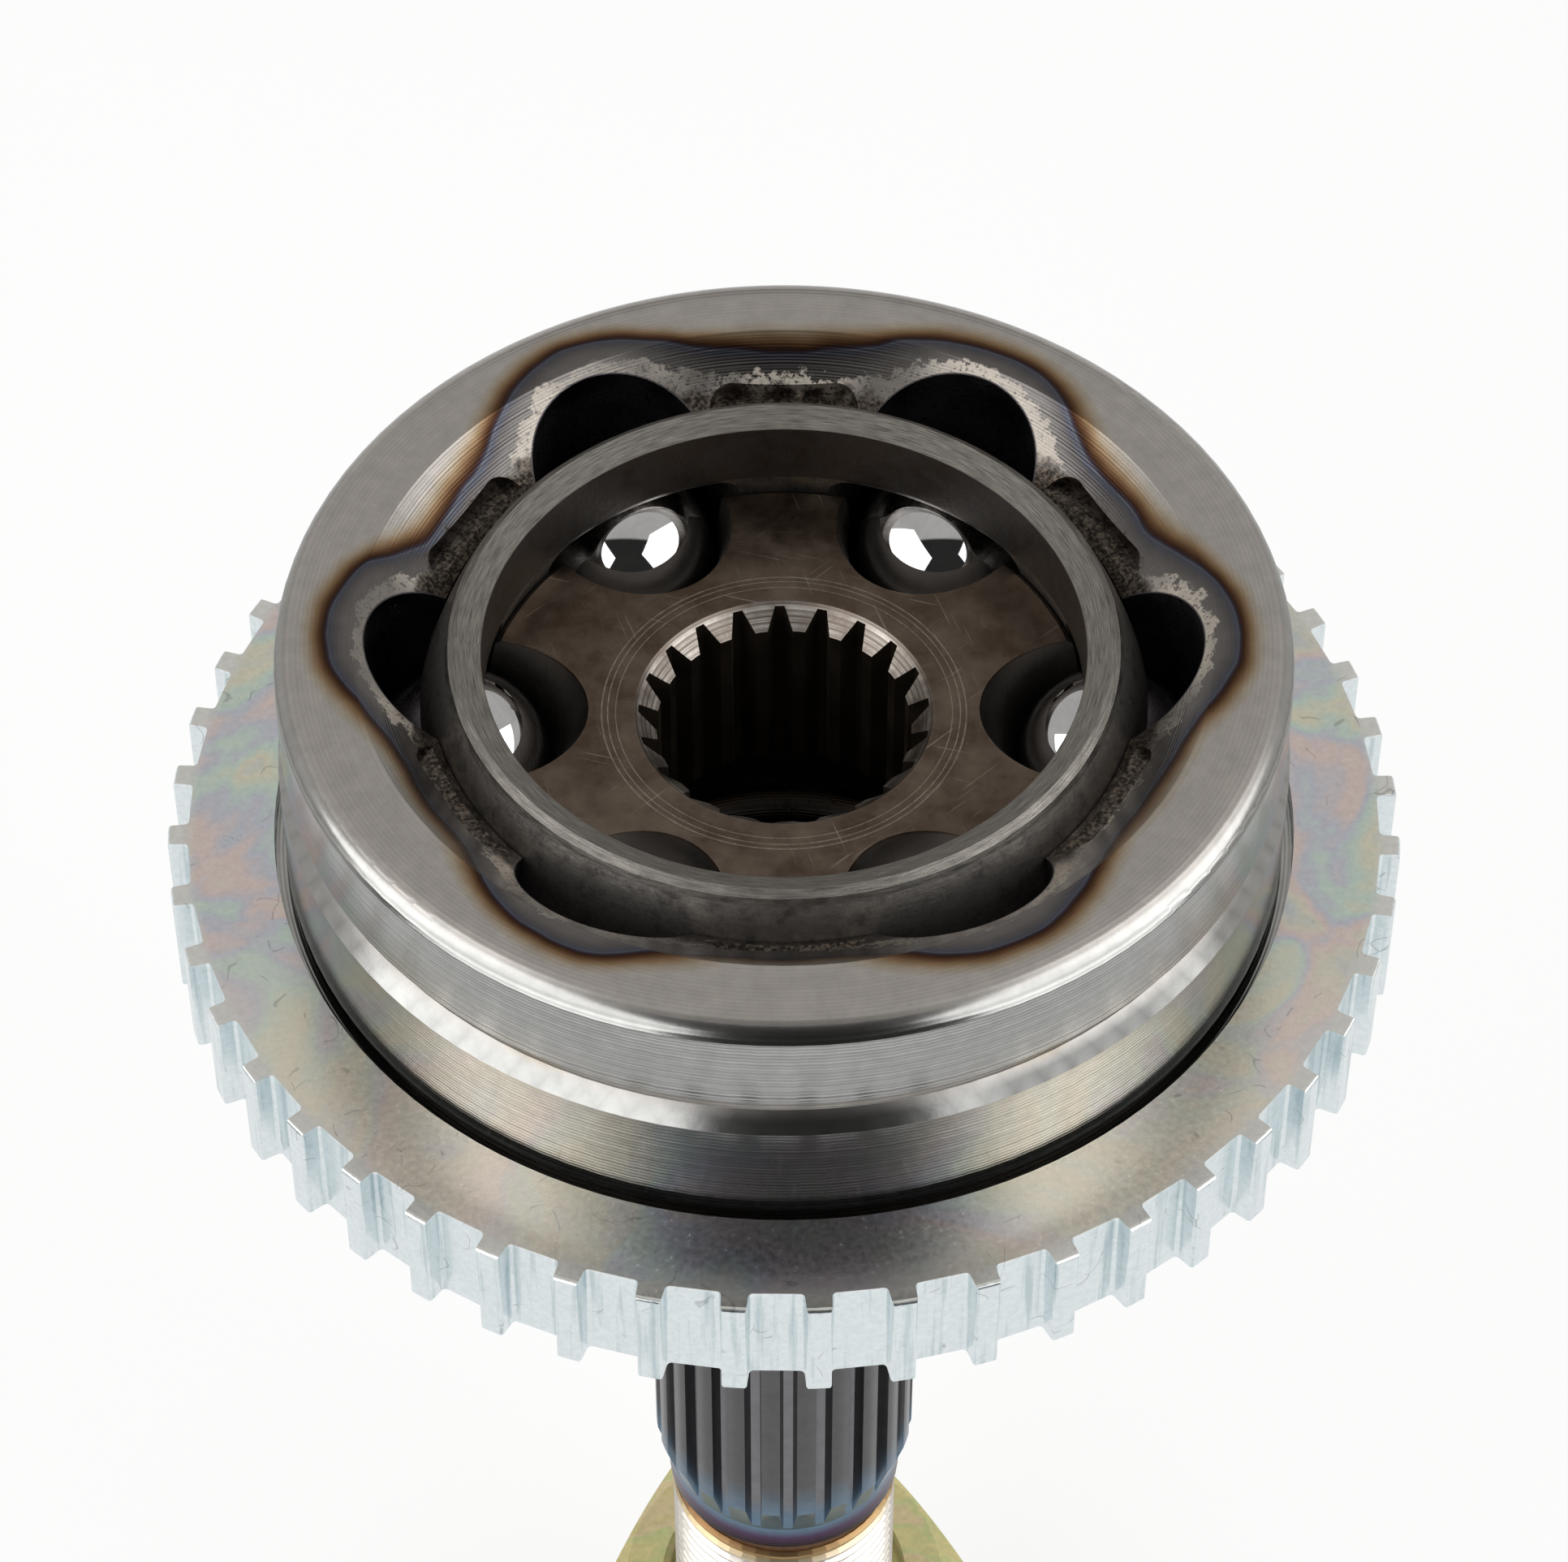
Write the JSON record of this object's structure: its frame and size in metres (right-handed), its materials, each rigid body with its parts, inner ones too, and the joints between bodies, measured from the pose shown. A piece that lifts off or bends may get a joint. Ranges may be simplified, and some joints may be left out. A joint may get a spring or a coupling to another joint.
{
  "type": "constant-velocity joint",
  "caption": "Outer constant-velocity joint: tracked steel bell on a splined, threaded stub, with ball cage, splined inner race, toothed wheel-speed ring and hub nut.",
  "frame": {"origin": "joint centre, where the half-shaft's axis and the stub's axis cross", "axes": "+Z along the stub's axis from the threaded end towards the open mouth of the bell; X is the axis that the joint tilts about"},
  "size_m": [0.1148, 0.1148, 0.176],
  "materials": {
    "bell_steel": "turned, satin",
    "zinc_ring": "bright zinc plate",
    "cage_steel": "ground, dark tempered",
    "race_steel": "hardened, dark",
    "ball_steel": "polished",
    "nut_steel": "yellow chromate"
  },
  "bodies": {
    "outer_race": {"outer_race": "bell_steel", "tone_ring": "zinc_ring"},
    "inner_race": {"inner_race": "race_steel"},
    "cage": {"cage": "cage_steel", "ball_1": "ball_steel", "ball_4": "ball_steel"},
    "ball_2": {"ball_2": "ball_steel"},
    "ball_3": {"ball_3": "ball_steel"},
    "ball_5": {"ball_5": "ball_steel"},
    "ball_6": {"ball_6": "ball_steel"},
    "hub_nut": {"hub_nut": "nut_steel"}
  },
  "joints": [
    {"name": "inner_race_tilt", "type": "hinge", "parent": "outer_race", "child": "inner_race", "pos_m": [0, 0, 0], "axis": [1, 0, 0], "range_deg": [-45, 45]},
    {"name": "cage_tilt", "type": "hinge", "parent": "outer_race", "child": "cage", "pos_m": [0, 0, 0], "axis": [1, 0, 0], "range_deg": [-22.5, 22.5]},
    {"name": "ball_2_travel", "type": "hinge", "parent": "outer_race", "child": "ball_2", "pos_m": [0, 0, 0.006], "axis": [0.866, -0.5, 0], "range_deg": [-19.74, 19.74]},
    {"name": "ball_3_travel", "type": "hinge", "parent": "outer_race", "child": "ball_3", "pos_m": [0, 0, 0.006], "axis": [0.866, 0.5, 0], "range_deg": [-19.74, 19.74]},
    {"name": "ball_5_travel", "type": "hinge", "parent": "outer_race", "child": "ball_5", "pos_m": [0, 0, 0.006], "axis": [-0.866, 0.5, 0], "range_deg": [-19.74, 19.74]},
    {"name": "ball_6_travel", "type": "hinge", "parent": "outer_race", "child": "ball_6", "pos_m": [0, 0, 0.006], "axis": [-0.866, -0.5, 0], "range_deg": [-19.74, 19.74]},
    {"name": "hub_nut_turn", "type": "hinge", "parent": "outer_race", "child": "hub_nut", "pos_m": [0, 0, -0.1482], "axis": [0, 0, 1], "continuous": true}
  ],
  "couplings": [
    {"joint": "cage_tilt", "follows": "inner_race_tilt", "ratio": 0.5},
    {"joint": "ball_2_travel", "follows": "inner_race_tilt", "ratio": 0.4385},
    {"joint": "ball_3_travel", "follows": "inner_race_tilt", "ratio": 0.4385},
    {"joint": "ball_5_travel", "follows": "inner_race_tilt", "ratio": -0.4385},
    {"joint": "ball_6_travel", "follows": "inner_race_tilt", "ratio": -0.4385}
  ]
}
